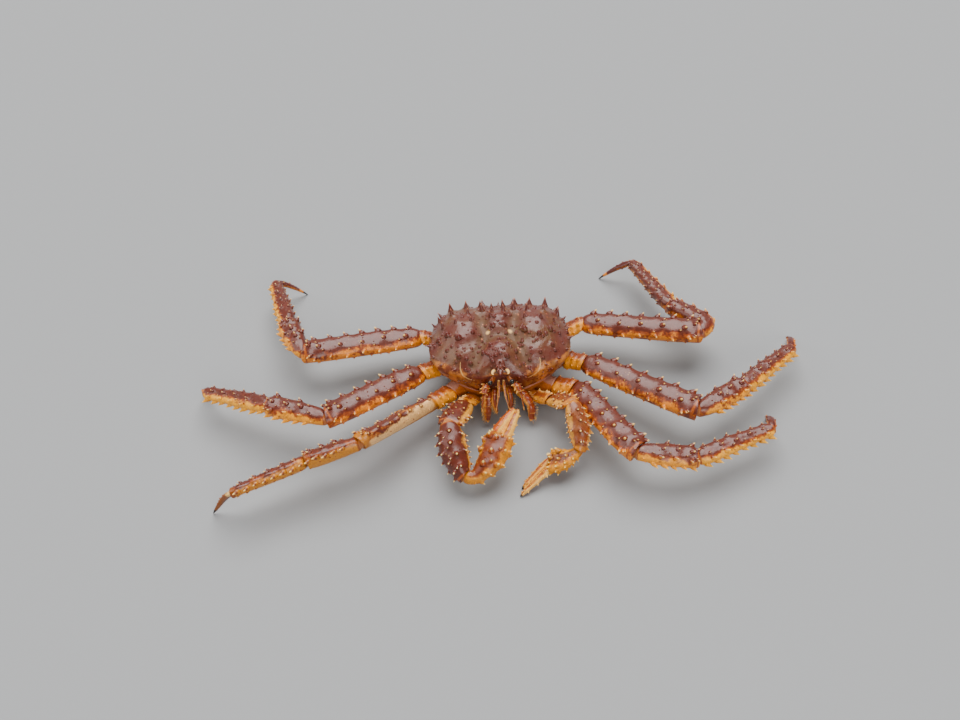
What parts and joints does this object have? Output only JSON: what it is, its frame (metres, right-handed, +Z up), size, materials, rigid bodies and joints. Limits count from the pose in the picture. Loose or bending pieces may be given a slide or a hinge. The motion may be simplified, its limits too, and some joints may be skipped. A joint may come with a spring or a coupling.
{
  "type": "red king crab",
  "caption": "Red king crab at life size with a spiny shell, long spread legs, a large folded claw and a slimmer claw that rests on the floor.",
  "frame": {"origin": "on the floor, under the middle of the crab's bounding box", "axes": "+Z up; the crab faces -Y and its left side is +X"},
  "size_m": [0.807, 0.4118, 0.0988],
  "materials": {
    "shell": "wet dark red-brown shell",
    "joint": "wet orange-yellow joint skin",
    "belly": "wet cream and orange underside",
    "feelers": "wet red limb shell",
    "horn": "amber horn with dark tips",
    "cornea": "polished black"
  },
  "bodies": {
    "root": {"carapace": "shell", "thorax": "belly", "tail_flap": "belly", "left_eyestalk": "feelers", "left_eye": "cornea", "left_feeler": "feelers", "left_small_feeler": "feelers", "left_jaw": "feelers", "right_eyestalk": "feelers", "right_eye": "cornea", "right_feeler": "feelers", "right_small_feeler": "feelers", "right_jaw": "feelers", "left_rear_leg_hip": "joint", "left_rear_leg_merus": "shell", "left_rear_leg_carpus": "shell", "left_rear_leg_propodus": "shell", "left_rear_leg_dactylus": "horn", "left_middle_leg_hip": "joint", "left_middle_leg_merus": "shell", "left_middle_leg_carpus": "shell", "left_middle_leg_propodus": "shell", "left_middle_leg_dactylus": "horn", "left_front_leg_hip": "joint", "left_front_leg_merus": "shell", "left_front_leg_carpus": "shell", "left_front_leg_propodus": "shell", "left_front_leg_dactylus": "horn", "right_rear_leg_hip": "joint", "right_rear_leg_merus": "shell", "right_rear_leg_carpus": "shell", "right_rear_leg_propodus": "shell", "right_rear_leg_dactylus": "horn", "right_middle_leg_hip": "joint", "right_middle_leg_merus": "shell", "right_middle_leg_carpus": "shell", "right_middle_leg_propodus": "shell", "right_middle_leg_dactylus": "horn", "right_front_leg_hip": "joint", "right_front_leg_merus": "shell", "right_front_leg_carpus": "shell", "right_front_leg_propodus": "shell", "right_front_leg_dactylus": "horn", "right_claw_hip": "joint", "right_claw_merus": "shell", "right_claw_carpus": "shell", "right_claw_palm": "shell", "right_claw_finger": "horn", "left_claw_hip": "joint", "left_claw_merus": "shell", "left_claw_carpus": "shell", "left_claw_palm": "shell", "left_claw_finger": "horn"}
  },
  "joints": []
}
